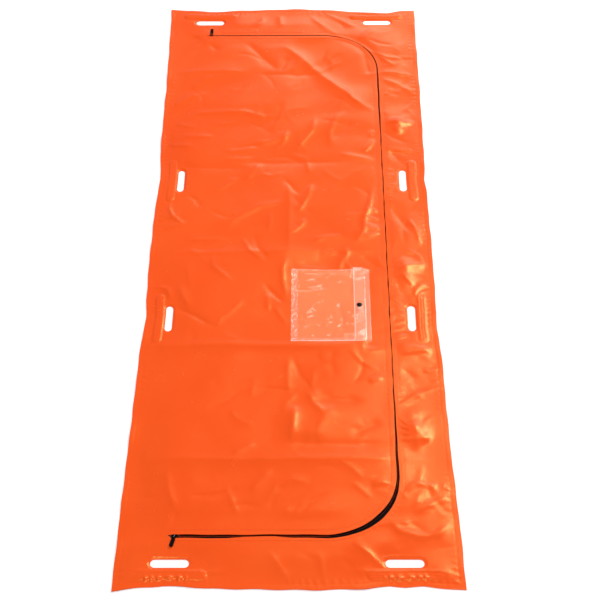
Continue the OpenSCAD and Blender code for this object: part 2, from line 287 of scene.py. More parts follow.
def coated_cloth():
    """Glossy orange PVC: a shade deeper and paler in clouds, and a scrim that just shows."""
    made = bpy.data.materials.new("orange_pvc")
    made.use_nodes = True
    tree = made.node_tree
    shader = tree.nodes["Principled BSDF"]
    place = tree.nodes.new("ShaderNodeUVMap")
    place.uv_map = "cut"
    cloud = node_of(tree, "ShaderNodeTexNoise", Vector=place.outputs[0], Scale=3.2, Detail=4.0)
    tint = tree.nodes.new("ShaderNodeValToRGB")
    tint.color_ramp.elements[0].position = 0.32
    tint.color_ramp.elements[0].color = (0.97, 0.080, 0.0085, 1)
    tint.color_ramp.elements[1].position = 0.72
    tint.color_ramp.elements[1].color = (1.0, 0.100, 0.0125, 1)
    tree.links.new(cloud.outputs[0], tint.inputs[0])
    tree.links.new(tint.outputs[0], shader.inputs["Base Color"])
    wear = node_of(tree, "ShaderNodeTexNoise", Vector=place.outputs[0], Scale=14.0, Detail=5.0)
    gloss = node_of(tree, "ShaderNodeMapRange", Value=wear.outputs[0],
                    From_Min=0.3, From_Max=0.7, To_Min=0.19, To_Max=0.28)
    tree.links.new(gloss.outputs[0], shader.inputs["Roughness"])
    weft = tree.nodes.new("ShaderNodeTexWave")
    weft.bands_direction = "X"
    warp = tree.nodes.new("ShaderNodeTexWave")
    warp.bands_direction = "Y"
    for yarn in (weft, warp):
        tree.links.new(place.outputs[0], yarn.inputs["Vector"])
        yarn.inputs["Scale"].default_value = 330
        yarn.inputs["Distortion"].default_value = 1.0
    scrim = node_of(tree, "ShaderNodeMath")
    tree.links.new(weft.outputs[1], scrim.inputs[0])
    tree.links.new(warp.outputs[1], scrim.inputs[1])
    grain = node_of(tree, "ShaderNodeTexNoise", Vector=place.outputs[0], Scale=900.0, Detail=2.0)
    skin = node_of(tree, "ShaderNodeMath")
    tree.links.new(scrim.outputs[0], skin.inputs[0])
    tree.links.new(grain.outputs[0], skin.inputs[1])
    bump = node_of(tree, "ShaderNodeBump", Height=skin.outputs[0], Strength=0.12, Distance=0.0002)
    tree.links.new(bump.outputs[0], shader.inputs["Normal"])
    shader.inputs["Specular IOR Level"].default_value = 0.8
    shader.inputs["Specular Tint"].default_value = (1.0, 0.70, 0.19, 1)
    return made


orange_pvc = coated_cloth()
slot_rings = [strip_ring(s, slot_l, slot_w, 3) for s in slot_at]


def on_bottom(x, y, clear):
    """Whether points lie on the sheet, at least clear inside its edges."""
    return (from_edge(x, y) > clear) & (from_slots(x, y) > clear)


bottom_flat, bottom_faces = cut_cloth(
    [outline_ring(0, 6)] + slot_rings,
    np.concatenate(
        [outline_ring(d, 7) for d in (5, 11, 17, 25)]
        + [strip_ring(s, slot_l + 2 * d, slot_w + 2 * d, 4) for s in slot_at for d in (3, 7, 12)]
        + [staggered(-half_w, half_w, -half_l, half_l, 11)]),
    on_bottom, gap=3)
x, y = drawn_in(*bottom_flat.T)
bottom = sewn_up("bottom_cloth", bottom_flat, bottom_faces,
                 np.stack([x, y, np.full(len(x), sheet_t)], 1), sheet_t, orange_pvc)
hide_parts("bottom_sheet")
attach(bottom, "bag")

# ------------------------------------------------------------- the top sheet
# The same cloth, laid over the grips and the slit of the zip. The border is
# welded down round the outside and round each slot. The flap is the part
# inside the zip, and its fold line is the straight line left of the zip's ends.

zip_x, zip_y, zip_r = 264, 957, 175
fold_x, stitch_d = -278, 15
bend_x, bend_y = zip_x - zip_r, zip_y - zip_r
lip = 1.8
grip_l, grip_w, grip_out = 170, 28, 33
grip_at = [
    (x + grip_out * np.sign(x) * up_right, y + grip_out * np.sign(y) * (not up_right), up_right)
    for x, y, up_right in slot_at]
run_l = bend_x - fold_x
bend_l = zip_r * math.pi / 2
zip_l = 2 * (run_l + bend_l + bend_y)


def across_zip(x, y):
    """How far outside the zip's middle line a point is; less than 0 on the flap."""
    qx, qy = x - bend_x, np.abs(y) - bend_y
    corner = np.hypot(qx, qy) - zip_r
    return np.where((qx > 0) & (qy > 0), corner, np.maximum(x - zip_x, np.abs(y) - zip_y))


def along_zip(x, y):
    """How far along the zip a point is, from its head end by way of the right side."""
    qx, qy = x - bend_x, np.abs(y) - bend_y
    turned = run_l + zip_r * np.arctan2(np.maximum(qx, 0), np.maximum(qy, 1e-6))
    s = np.where(qx <= 0, x - fold_x, np.where(qy > 0, turned, run_l + bend_l - qy))
    return np.where(y >= 0, s, zip_l - s)


def zip_way(s):
    """The zip's middle line at s, and the way outwards from it."""
    s = np.asarray(s, float)
    mirrored = s > zip_l / 2
    t = np.where(mirrored, zip_l - s, s)
    turn = np.clip((t - run_l) / zip_r, 0, math.pi / 2)
    nx, ny = np.sin(turn), np.cos(turn)
    x = bend_x + np.minimum(t - run_l, 0) + zip_r * nx
    y = bend_y - np.maximum(t - run_l - bend_l, 0) + zip_r * ny
    flip = np.where(mirrored, -1, 1)
    return x, y * flip, nx, ny * flip


def zip_row(d, step, start=0.0):
    """Points along the zip, at d outwards from its middle line."""
    s = np.linspace(start, zip_l - start, round((zip_l - 2 * start) / step) + 1)
    x, y, nx, ny = zip_way(s)
    return np.stack([x + nx * d, y + ny * d], 1)


def lips_apart(x, y):
    """Moves the cloth's edges to where they really lie over the open zip."""
    d, s = across_zip(x, y), along_zip(x, y)
    out = np.interp(s, [0, 300, 500, 640, 700, 860, 980, 1900, 2060, 2230, 2340, 2460, 2560, 2600,
                        2670, 2710, 2834],
                    [1.9, 1.9, 1.8, 1.9, 2.6, 2.4, 1.3, 1.2, 2.3, 4.2, 11.0, 7.5, 6.5, 3.2,
                     3.2, 8.0, 7.5])
    into = np.interp(s, [0, 300, 500, 640, 700, 860, 980, 1900, 2060, 2230, 2340, 2460, 2600, 2834],
                     [1.9, 1.9, 1.8, 1.9, 2.3, 2.2, 1.2, 1.1, 2.1, 3.2, 4.6, 2.6, 2.3, 2.2])
    uneven = 0.5 * np.sin(s / 11) * np.sin(s / 37) * smooth(860, 980, s) * smooth(2060, 1900, s)
    out, into = out + uneven, into + uneven
    ripple = (0.3 + 0.35 * smooth(700, 800, s) + 0.3 * smooth(2400, 2500, s)) * (
        np.sin(s / 21) * np.sin(s / 53 + 2))
    fall = np.exp(-((np.abs(d) - lip) / 16) ** 2) * (x > fold_x - 1)
    shift = np.where(d > 0, out + ripple - lip, lip - into + ripple) * fall
    shift = shift * smooth(fold_x, fold_x + 9, x)
    shift -= np.sign(d) * fall * smooth(fold_x + 7, fold_x + 2, x) * (x > fold_x - 1)
    _, _, nx, ny = zip_way(s)
    return x + nx * shift, y + ny * shift


def waves(x, y, length, seed):
    """Gentle unevenness of about one wavelength, with a spread of 1."""
    rng = np.random.default_rng(seed)
    z = np.zeros_like(x)
    for _ in range(16):
        turn, l, phase = rng.uniform(0, 6.28), length * rng.uniform(0.7, 1.5), rng.uniform(0, 6.28)
        z += np.cos(6.283 * (x * math.cos(turn) + y * math.sin(turn)) / l + phase)
    return z / 2.83


def crease(x, y, height, width, line, crisp=False):
    """A fold in the cloth along a line of points, up or down, that dies away at its ends."""
    line = np.array(line, float)
    step = np.hypot(*np.diff(line, axis=0).T)
    total = step.sum()
    reach = 3.2 * width
    near = ((x > line[:, 0].min() - reach) & (x < line[:, 0].max() + reach)
            & (y > line[:, 1].min() - reach) & (y < line[:, 1].max() + reach))
    px, py = x[near], y[near]
    best, at = np.full(px.shape, 1e9), np.zeros(px.shape)
    gone = 0
    for (ax, ay), (bx, by), l in zip(line[:-1], line[1:], step):
        t = np.clip(((px - ax) * (bx - ax) + (py - ay) * (by - ay)) / l ** 2, 0, 1)
        d = np.hypot(px - ax - t * (bx - ax), py - ay - t * (by - ay))
        at = np.where(d < best, gone + t * l, at)
        best = np.minimum(best, d)
        gone += l
    fade = smooth(0, 0.3 * total, at) * smooth(0, 0.3 * total, total - at)
    ridge = (0.05 if crisp else 0.22) * width
    shape = np.exp((ridge - np.hypot(best, ridge)) / (0.72 * width))
    z = np.zeros_like(x)
    z[near] = height * fade * shape
    return z


# Folds in the cloth, as (height, width, points along it)
head_folds = [
    (4.5, 30, [(-75, 950), (20, 850), (60, 790), (110, 725), (190, 630), (270, 545)]),
    (1.8, 10, [(-392, 808), (-340, 868), (-282, 940)]),
    (2.4, 14, [(-352, 955), (-325, 975), (-300, 960), (-235, 962), (-190, 970), (-150, 974),
               (-100, 1032), (-105, 1095)]),
    (2.2, 12, [(50, 1085), (72, 1040), (110, 988), (150, 948), (210, 912)]),
    (1.6, 12, [(266, 998), (205, 922)]),
    (2.2, 12, [(95, 1092), (150, 1045), (185, 1012), (222, 1000)]),
    (1.8, 10, [(160, 940), (205, 905), (250, 868), (300, 838), (396, 848)]),
    (1.8, 9, [(266, 848), (322, 797)]),
    (2.4, 15, [(262, 742), (330, 705), (396, 657)]),
    (2.0, 8, [(318, 757), (386, 757)]),
    (1.9, 7, [(278, 653), (310, 688)]),
    (2.0, 13, [(-385, 592), (-330, 640), (-262, 672)]),
    (1.6, 12, [(-318, 682), (-252, 758)]),
    (2.2, 15, [(-350, 532), (-280, 570), (-150, 573), (-85, 552), (-20, 556)]),
    (-2.4, 20, [(-160, 940), (-100, 850), (-40, 765)]),
    (-2.0, 13, [(-272, 930), (-235, 872)]),
    (-1.6, 10, [(-40, 765), (-15, 850)]),
    (1.5, 10, [(-10, 765), (30, 830)]),
    (-1.8, 12, [(-395, 945), (-270, 945)]),
    (1.6, 14, [(-45, 1075), (-40, 990)]),
    (-2.2, 15, [(225, 860), (240, 745)]),
]
middle_folds = [
    (1.6, 9, [(-360, 524), (-285, 503)]),
    (1.8, 10, [(-335, 461), (-228, 458)]),
    (1.8, 10, [(-385, 426), (-288, 417)]),
    (1.9, 11, [(-208, 392), (-150, 400), (-92, 412)]),
    (1.3, 8, [(-210, 358), (-102, 362)]),
    (2.4, 17, [(-120, 425), (-60, 438), (8, 476)]),
    (2.6, 13, [(2, 385), (35, 445), (60, 490), (74, 555)]),
    (2.5, 12, [(112, 400), (112, 480), (128, 530), (160, 580)]),
    (2.1, 13, [(132, 380), (256, 347)]),
    (2.4, 10, [(210, 382), (250, 450)]),
    (1.8, 9, [(232, 455), (244, 490)]),
    (3.0, 14, [(270, 528), (330, 520), (388, 527)]),
    (4.2, 26, [(306, 552), (322, 512), (316, 462)]),
    (2.0, 11, [(300, 490), (320, 505)]),
    (1.8, 11, [(270, 407), (330, 400), (388, 393)]),
    (-2.1, 12, [(280, 405), (310, 365), (350, 315)]),
    (1.9, 11, [(-138, 262), (-112, 305), (-88, 350)]),
    (1.8, 12, [(-228, 212), (-152, 284)]),
    (1.4, 8, [(44, 358), (52, 292)]),
    (3.0, 12, [(14, 120), (40, 180), (64, 255)]),
    (-1.9, 10, [(-24, 280), (24, 202)]),
    (2.1, 10, [(-4, 42), (25, 75), (44, 112)]),
    (1.4, 7, [(-95, 300), (-60, 285), (-20, 305)]),
    (2.2, 15, [(-200, 55), (-150, 112), (-90, 155), (0, 180)]),
    (1.5, 12, [(-300, 25), (-165, 25)]),
    (1.3, 8, [(-62, 40), (-58, 140)]),
    (3.0, 9, [(172, 2), (203, 55), (207, 110), (222, 160), (240, 262)]),
    (2.0, 6, [(205, 142), (254, 134)]),
    (2.0, 6, [(204, 112), (254, 98)]),
    (2.0, 6, [(200, 72), (254, 60)]),
    (2.0, 6, [(198, 28), (254, 52)]),
    (2.2, 7, [(274, 225), (306, 260)]),
    (1.6, 6, [(272, 290), (302, 294)]),
    (1.6, 6, [(272, 312), (302, 312)]),
    (-2.4, 17, [(268, 180), (340, 40)]),
    (2.4, 7, [(332, 112), (358, 50), (368, -8)]),
    (2.3, 7, [(-356, 200), (-353, 150), (-340, 120), (-306, 90), (-340, 78), (-375, 60)]),
    (-2.0, 10, [(-395, 78), (-345, 115)]),
    (-1.6, 9, [(-302, 215), (-270, 185), (-255, 150)]),
    (1.5, 10, [(60, 10), (90, 30), (150, 35)]),
]
pocket_folds = [
    (3.0, 10, [(-10, -30), (-22, -90), (-20, -140), (-6, -208)]),
    (-2.2, 9, [(-75, -145), (-15, -220)]),
    (1.5, 8, [(-48, -220), (-2, -306)]),
    (1.8, 8, [(-62, -178), (-57, -252)]),
    (1.8, 12, [(-302, -142), (-285, -200), (-262, -238)]),
    (-2.3, 10, [(-325, -220), (-255, -262), (-195, -310)]),
    (1.2, 9, [(-180, -262), (-192, -308)]),
    (2.0, 8, [(-392, -172), (-360, -155), (-335, -165), (-316, -208)]),
    (1.8, 8, [(-394, -384), (-344, -332)]),
    (2.8, 14, [(284, -98), (330, -80), (386, -74)]),
    (2.3, 28, [(300, -40), (318, -90), (310, -150)]),
    (2.2, 11, [(296, -102), (336, -158)]),
    (-1.8, 12, [(275, -100), (300, -180), (330, -215)]),
    (2.2, 6, [(266, -196), (304, -234)]),
    (2.0, 5, [(266, -226), (306, -243)]),
    (2.2, 6, [(266, -262), (306, -258)]),
    (2.0, 5, [(266, -294), (306, -284)]),
    (2.2, 6, [(266, -318), (306, -304)]),
    (2.0, 6, [(268, -352), (312, -330)]),
    (2.4, 7, [(337, -208), (340, -172), (358, -152), (392, -147)]),
    (1.8, 6, [(346, -208), (350, -186), (362, -177), (384, -180)]),
    (2.2, 11, [(268, -400), (350, -385), (394, -396)]),
    (2.2, 8, [(342, -452), (388, -452)]),
    (2.2, 11, [(268, -575), (320, -535), (392, -502)]),
    (-2.0, 14, [(280, -440), (320, -480), (380, -490)]),
    (1.9, 10, [(198, -492), (240, -478)]),
    (1.6, 10, [(22, -522), (-6, -560), (-16, -600)]),
    (2.6, 12, [(45, -512), (60, -560), (96, -610)]),
    (-2.0, 18, [(60, -530), (190, -560)]),
    (2.2, 9, [(130, -98), (140, -55), (155, -30)]),
    (-2.0, 16, [(10, -70), (125, -70)]),
    (1.8, 9, [(236, -40), (256, -85)]),
    (1.6, 10, [(-215, -30), (-212, -80), (-150, -150)]),
]
foot_folds = [
    (3.6, 42, [(40, -690), (85, -620), (120, -560)]),
    (3.4, 40, [(6, -560), (10, -620), (20, -690)]),
    (-2.0, 20, [(150, -665), (235, -615)]),
    (1.8, 10, [(-142, -724), (-78, -684)]),
    (1.7, 15, [(-294, -758), (-285, -830), (-258, -900)]),
    (1.7, 11, [(-96, -842), (-36, -762)]),
    (1.7, 14, [(-54, -870), (-25, -815), (10, -797), (58, -808)]),
    (1.8, 11, [(-266, -950), (-235, -925), (-190, -908)]),
    (-1.4, 6, [(-262, -885), (-272, -950)]),
    (2.2, 9, [(148, -968), (225, -1046)]),
    (1.6, 13, [(-56, -975), (-20, -1040), (14, -1095)]),
    (3.4, 34, [(300, -620), (350, -690)]),
    (2.8, 32, [(292, -560), (312, -640), (318, -730)]),
    (2.0, 6, [(266, -600), (302, -640)]),
    (1.8, 5, [(266, -630), (308, -652)]),
    (1.8, 5, [(266, -655), (308, -662)]),
    (1.8, 5, [(266, -682), (304, -674)]),
    (2.4, 9, [(268, -838), (310, -808), (345, -815), (354, -842)]),
    (2.2, 11, [(292, -898), (345, -865), (396, -840)]),
    (3.0, 11, [(234, -905), (262, -945), (310, -960), (350, -952), (396, -908)]),
    (1.8, 9, [(364, -804), (396, -840)]),
    (2.0, 7, [(-392, -1070), (-280, -1058), (-150, -1055), (-108, -1034)]),
    (2.0, 7, [(134, -1050), (250, -1060), (330, -1050), (394, -1062)]),
    (1.6, 10, [(196, -812), (240, -806)]),
    (1.4, 9, [(-150, -815), (-115, -905)]),
    (2.0, 10, [(30, -915), (36, -955)]),
    (-1.6, 12, [(10, -890), (-30, -950)]),
]
# Straight lines that stay from how the pouch was packed
pack_lines = [
    (2.2, 18, [(-405, 773), (-130, 772)]), (-1.2, 12, [(-130, 757), (120, 757)]),
    (-1.6, 16, [(-350, 322), (-110, 320)]), (-1.6, 16, [(-200, 346), (190, 345)]),
    (1.8, 20, [(-400, -28), (300, -22)]), (3.4, 26, [(-430, -368), (300, -372)]),
    (3.0, 26, [(-420, -738), (430, -736)]), (-2.0, 16, [(-20, -690), (265, -692)]),
    (2.0, 14, [(-6, 290), (-5, -60)]), (1.8, 14, [(-4, -400), (-2, -545)]),
    (2.4, 12, [(18, -560), (4, -700)]), (1.4, 12, [(0, -870), (-2, -970)]),
    (-1.4, 12, [(265, 395), (400, 380)]), (2.0, 16, [(262, -376), (405, -380)]),
]

# It was also folded small, which leaves short creases, most of them on the right
chance = np.random.default_rng(12)
small_folds = []
while len(small_folds) < 230:
    at = chance.uniform((-385, -1060), (385, 1060))
    if chance.uniform() > 0.25 + 0.75 * smooth(-250, 300, at[0]):
        continue
    turn, length = chance.uniform(0, math.pi), chance.uniform(35, 140)
    along = np.array([math.cos(turn), math.sin(turn)]) * length / 2
    aside = np.array([-along[1], along[0]]) * chance.uniform(-0.35, 0.35)
    small_folds.append((chance.choice([-1, 1]) * chance.uniform(0.5, 1.7) * length / 90,
                        chance.uniform(5, 10), [at - along, at + aside, at + along]))


def top_of(x, y):
    """Height of the top sheet's upper face over each point of the cut, in mm."""
    e, d, s = from_edge(x, y), across_zip(x, y), along_zip(x, y)
    base = 1.25 + 2.5 * smooth(12, 80, e) + 2.55 * smooth(50, 130, e)
    # soft swells, then every fold
    z = 1.2 * waves(x, y, 330, 4) + 0.5 * waves(x, y, 130, 9)
    z += 1.6 * (0.8 - np.sqrt(waves(x, y, 420, 21) ** 2 + 0.03))
    for fold in small_folds:
        z += crease(x, y, *fold)
    for h, width, line in head_folds + middle_folds + pocket_folds + foot_folds:
        z += crease(x, y, 1.45 * h, 0.85 * width, line)
    for h, width, line in pack_lines:
        z += crease(x, y, 1.5 * h, width, line, crisp=True)
    # lower and calmer by the slots, and raised over the foam of the grips
    slot_out = from_slots(x, y)
    near_slot = smooth(50, 6, slot_out)
    base = base - 0.6 * (base - 2.1) * near_slot
    z = z * (1 - 0.5 * near_slot)
    head_hem = 0
    for i, at in enumerate(grip_at):
        out, across, along = from_strip(x, y, at, grip_l, grip_w)
        on = 1 - smooth(-8, 5, out)
        if at[1] > zip_y:
            head_hem = head_hem + on * np.maximum(across + grip_w / 2, 0)
        z = z * (1 - 0.75 * on)
        z += on * (1.5 + 0.55 * np.cos(across * 2 * math.pi / 9.5 + 0.3 * np.sin(along / 20 + i)))
        z -= 0.35 * np.exp(-((out - 5) / 3) ** 2)
    # puckers beside the weld round the outside, and the dent of the weld itself
    rim_s = np.where(half_w - np.abs(x) < half_l - np.abs(y), y, x)
    pucker = np.sin(rim_s / 2.7 + 2 * np.sin(rim_s / 31)) * (0.55 + 0.45 * np.sin(rim_s / 47))
    z = z * smooth(4, 46, e) + 0.6 * pucker * np.exp(-((e - 19) / 7) ** 2)
    # at the head end the hem stands up behind the grips
    z += 0.15 * head_hem * smooth(3, 16, e)
    z -= 0.5 * np.exp(-((e - 13.5) / 1.6) ** 2)
    edge_wave = waves(x, y, 120, 50) * (1 - smooth(0, 30, e))
    z += 0.6 * (edge_wave + 1)
    # foot end: short tight puckers below both slots
    short = np.exp(-((y + 1077) / 8) ** 2) * smooth(60, 44, np.abs(np.abs(x + 3) - 276))
    z += 4.5 * short * (0.5 + 0.5 * np.sin(x / 2.9 + 2 * np.sin(x / 17)))
    # the zip's seams pull the cloth into little folds across them
    seam = np.abs(np.abs(d) - stitch_d)
    inside_run = smooth(fold_x - 2, fold_x + 10, x)
    gather = np.sin(s / 2.3 + 3 * np.sin(s / 37)) * (0.5 + 0.5 * np.sin(s / 61 + 1)) ** 2
    strong = 0.35 + 0.5 * smooth(900, 1100, s) * smooth(2300, 2100, s) * (d > 0)
    z += inside_run * strong * gather * np.exp(-((np.abs(d) - stitch_d - 2) / 7) ** 2)
    z -= inside_run * 0.55 * np.exp(-(seam / 1.4) ** 2)
    # along the head end the flap's lip stands a little over the other one
    over = smooth(14, 60, s) * smooth(590, 470, s)
    lips = np.where(d < 0, 0.9 * np.exp(-((-d - lip) / 14) ** 2), -0.4 * np.exp(-((d - lip) / 9) ** 2))
    # the cloth stays near the zip, the sliders and their pulls
    near_zip = np.exp(-(np.maximum(np.abs(d) - 8, 0) / 20) ** 2) * inside_run
    z = z * (1 - 0.72 * near_zip) + over * lips
    for side in (-1, 1):
        z *= smooth(14, 60, np.hypot(x + 264, (y - side * 968) / 1.4))
    z = z + base
    # nothing sinks into what lies beneath it
    floor_z = 1.22 + inside_run * 3.7 * np.exp(-(np.maximum(np.abs(d) - 10, 0) / 13) ** 2)
    for at in grip_at:
        off_grip = smooth(-2, 5, from_strip(x, y, at, grip_l, grip_w)[0])
        floor_z = np.maximum(floor_z, 1.22 + 2.1 * (1 - off_grip))
    z = floor_z + np.log1p(np.exp(np.clip((z - floor_z) * 1.6, -30, 30))) / 1.6
    # the pulls slide and swing just above the cloth beside the zip, and the open
    # lid of the pocket comes down beside it, so it stays low there
    pulls = smooth(160, 110, x) * smooth(72, 38, np.abs(d)) * inside_run
    lid_side = smooth(190, 205, x) * smooth(-400, -362, y) * smooth(-50, -88, y) * (d < 0)
    for low, part in ((6.45, pulls), (6.75, lid_side)):
        z -= part * np.log1p(np.exp(np.clip((z - low) * 3, -30, 30))) / 3
    z += (6.3 - z) * pulls * smooth(16, 9, np.abs(d))
    # the weld round each slot holds the sheets together
    z = 1.4 + (z - 1.4) * smooth(2, 7, slot_out) + 0.15 * np.exp(-((slot_out - 1.5) / 1.2) ** 2)
    return z


def laid(x, y):
    """The upper face of the top sheet, as points."""
    z = top_of(x, y)
    px, py = drawn_in(*lips_apart(x, y))
    return np.stack([px, py, z], 1)


def on_flap(x, y, clear):
    """Whether points lie on the flap, at least clear inside its edges."""
    return (across_zip(x, y) < -lip - clear) & (x > fold_x + clear)


def on_border(x, y, clear):
    """Whether points lie on the border, at least clear inside its edges."""
    return (on_bottom(x, y, clear)
            & ((across_zip(x, y) > lip + clear) | (x < fold_x - clear)))


outer_lip, inner_lip = zip_row(lip, 3.5), zip_row(-lip, 3.5)
fold_line = np.stack([np.full(383, fold_x), np.linspace(-955, 955, 383)], 1)
slit_end = np.array([[fold_x, zip_y - lip]])
seam_rows = (3.5, 6, 9, 12, 14, 15, 16, 18.5, 22, 27)
border_flat, border_faces = cut_cloth(
    [outline_ring(0, 4.5), np.concatenate([outer_lip, [[fold_x, lip - zip_y]], fold_line, slit_end])]
    + slot_rings,
    np.concatenate(
        [outline_ring(d, 4.5) for d in (3.5, 7.5, 11, 13.5, 16, 19, 23, 28)]
        + [strip_ring(s, slot_l + 2 * d, slot_w + 2 * d, 3 + d / 12)
           for s in slot_at for d in (1.5, 3.2, 4.8, 6.5, 8.5, 11, 14)]
        + [zip_row(d, 3.4, 1) for d in seam_rows]
        + [strip_ring(g, grip_l + 2 * d, grip_w + 2 * d, 4)
           for g in grip_at for d in (-11, -8.5, -6, -3.5, -1, 1.5, 4, 7)]
        + [staggered(-half_w, half_w, -half_l, half_l, 6.3)]),
    on_border)
border = sewn_up("border_cloth", border_flat, border_faces, laid(*border_flat.T), sheet_t, orange_pvc)
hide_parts("border_sheet")
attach(border, "bag")

flap_flat, flap_faces = cut_cloth(
    [np.concatenate([inner_lip, [[fold_x, lip - zip_y]], fold_line, slit_end])[:-1]],
    np.concatenate(
        [zip_row(-d, 3.6, 1) for d in seam_rows]
        + [staggered(fold_x, zip_x, -zip_y, zip_y, 6)]),
    on_flap)
flap = sewn_up("flap_cloth", flap_flat, flap_faces, laid(*flap_flat.T), sheet_t, orange_pvc)
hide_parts("opening_flap")
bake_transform(flap)

# ------------------------------------------------------------ the hand grips
# Eight strips of stiff white foam sheet, 170 by 28 mm, loose between the two
# sheets just outside the hand slots, so that a hand closes on something firm.
# They don't show, except as long bumps under the cloth.

foam = bpy.data.materials.new("white_foam")
foam.use_nodes = True
foam_shader = foam.node_tree.nodes["Principled BSDF"]
speckle = node_of(foam.node_tree, "ShaderNodeTexNoise", Scale=180.0, Detail=3.0)
foam_tint = node_of(foam.node_tree, "ShaderNodeMapRange", Value=speckle.outputs[0],
                    To_Min=0.66, To_Max=0.84)
foam.node_tree.links.new(foam_tint.outputs[0], foam_shader.inputs["Base Color"])
foam_shader.inputs["Roughness"].default_value = 0.85

grip_names = [
    "head_left", "head_right", "right_upper", "right_lower",
    "foot_right", "foot_left", "left_lower", "left_upper"]
for name, at in zip(grip_names, grip_at):
    flat, faces = cut_cloth(
        [strip_ring(at, grip_l, grip_w, 4)],
        np.concatenate([strip_ring(at, grip_l - 2 * d, grip_w - 2 * d, 6) for d in (1.5, 7)]),
        lambda x, y, clear: from_strip(x, y, at, grip_l, grip_w)[0] < -clear)
    inside = -from_strip(*flat.T, at, grip_l, grip_w)[0]
    gx, gy = drawn_in(*flat.T)
    top = np.stack([gx, gy, 2.1 + 0.5 * smooth(0, 1.5, inside)], 1)
    grip = sewn_up("foam_grip_" + name, flat, faces, top, 1.5, foam)
    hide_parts("grip_" + name)
    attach(grip, "bag")

# ------------------------------------------------------------------- the zip
# A coil zip in black, sewn under both edges of the slit with orange thread.
# Each half is a woven tape with a nylon coil along it. Behind the two parked
# sliders the tape is whole, and a metal clip stops each slider.

tape_w, coil_z, coil_out = 17, 3.2, 3.8


def woven_tape():
    """Black polyester tape with a fine herringbone, darkened far below black cloth as painted shade
    for the depth of the open gap.
    """
    made = bpy.data.materials.new("black_tape_painted_shade")
    made.use_nodes = True
    tree = made.node_tree
    shader = tree.nodes["Principled BSDF"]
    place = tree.nodes.new("ShaderNodeUVMap")
    place.uv_map = "cut"
    weave = node_of(tree, "ShaderNodeTexWave", Vector=place.outputs[0], Scale=420.0, Distortion=2.0)
    weave.bands_direction = "DIAGONAL"
    shade = tree.nodes.new("ShaderNodeValToRGB")
    # near-zero black: the tape's own black plus painted shade for the open gap
    shade.color_ramp.elements[0].color = (0.0008, 0.0008, 0.0008, 1)
    shade.color_ramp.elements[1].color = (0.004, 0.0038, 0.0038, 1)
    tree.links.new(weave.outputs[1], shade.inputs[0])
    tree.links.new(shade.outputs[0], shader.inputs["Base Color"])
    bump = node_of(tree, "ShaderNodeBump", Height=weave.outputs[1], Strength=0.4, Distance=0.0002)
    tree.links.new(bump.outputs[0], shader.inputs["Normal"])
    shader.inputs["Roughness"].default_value = 0.8
    shader.inputs["Specular IOR Level"].default_value = 0.06
    return made


def dull(name, dark, light, scale, roughness, metal=0.0):
    """A plain finish whose shade wanders a little."""
    made = bpy.data.materials.new(name)
    made.use_nodes = True
    tree = made.node_tree
    shader = tree.nodes["Principled BSDF"]
    place = tree.nodes.new("ShaderNodeTexCoord")
    cloud = node_of(tree, "ShaderNodeTexNoise", Vector=place.outputs["Object"], Scale=scale,
                    Detail=4.0)
    shade = tree.nodes.new("ShaderNodeValToRGB")
    shade.color_ramp.elements[0].position = 0.35
    shade.color_ramp.elements[0].color = (*dark, 1)
    shade.color_ramp.elements[1].position = 0.68
    shade.color_ramp.elements[1].color = (*light, 1)
    tree.links.new(cloud.outputs[0], shade.inputs[0])
    tree.links.new(shade.outputs[0], shader.inputs["Base Color"])
    rough = node_of(tree, "ShaderNodeMapRange", Value=cloud.outputs[0],
                    To_Min=roughness - 0.08, To_Max=roughness + 0.08)
    tree.links.new(rough.outputs[0], shader.inputs["Roughness"])
    bump = node_of(tree, "ShaderNodeBump", Height=cloud.outputs[0], Strength=0.15, Distance=0.0001)
    tree.links.new(bump.outputs[0], shader.inputs["Normal"])
    shader.inputs["Metallic"].default_value = metal
    shader.inputs["Specular IOR Level"].default_value = 0.5 if metal > 0.5 else 0.05
    return made


black_tape_painted_shade = woven_tape()
# the coil is black nylon, made near zero as painted shade for the open gap
black_nylon_painted_shade = dull("black_nylon_painted_shade", (0.002, 0.002, 0.002), (0.008, 0.008, 0.008), 900, 0.45)
orange_thread = dull("orange_thread", (0.70, 0.055, 0.008), (0.95, 0.11, 0.02), 1500, 0.75)


def under_cloth(s, d):
    """Points below the top sheet at s along the zip and d out from it, and its height there."""
    x, y, nx, ny = zip_way(s)
    x, y = x + nx * d, y + ny * d
    return x, y, top_of(x, y)


def tape_half(name, side, start):
    """One half of the tape: down by the coil, then up against the sheet where it is sewn."""
    s = np.linspace(start, zip_l - start, 720)
    ds = np.array([1.3, 3.4, 5.0, 6.5, 8.0, 9.5, 12, 14.5, tape_w])
    grid_s, grid_d = np.meshgrid(s, ds, indexing="ij")
    x, y, z = under_cloth(grid_s.ravel(), side * grid_d.ravel())
    rise = smooth(5.5, 10.5, grid_d.ravel())
    z = coil_z + 0.3 + rise * (z - 0.75 - coil_z - 0.3)
    px, py = drawn_in(x, y)
    rows, cols = grid_s.shape
    i = (np.arange(rows - 1)[:, None] * cols + np.arange(cols - 1)).ravel()
    quads = np.stack([i, i + 1, i + cols + 1, i + cols], 1)
    faces = np.concatenate([quads[:, [0, 1, 2]], quads[:, [0, 2, 3]]])
    if side < 0:
        faces = faces[:, ::-1]
    flat = np.stack([grid_s.ravel(), grid_d.ravel()], 1)
    made = sewn_up(name, flat, faces[:, ::-1], np.stack([px, py, z], 1), 0.5, black_tape_painted_shade)
    return made


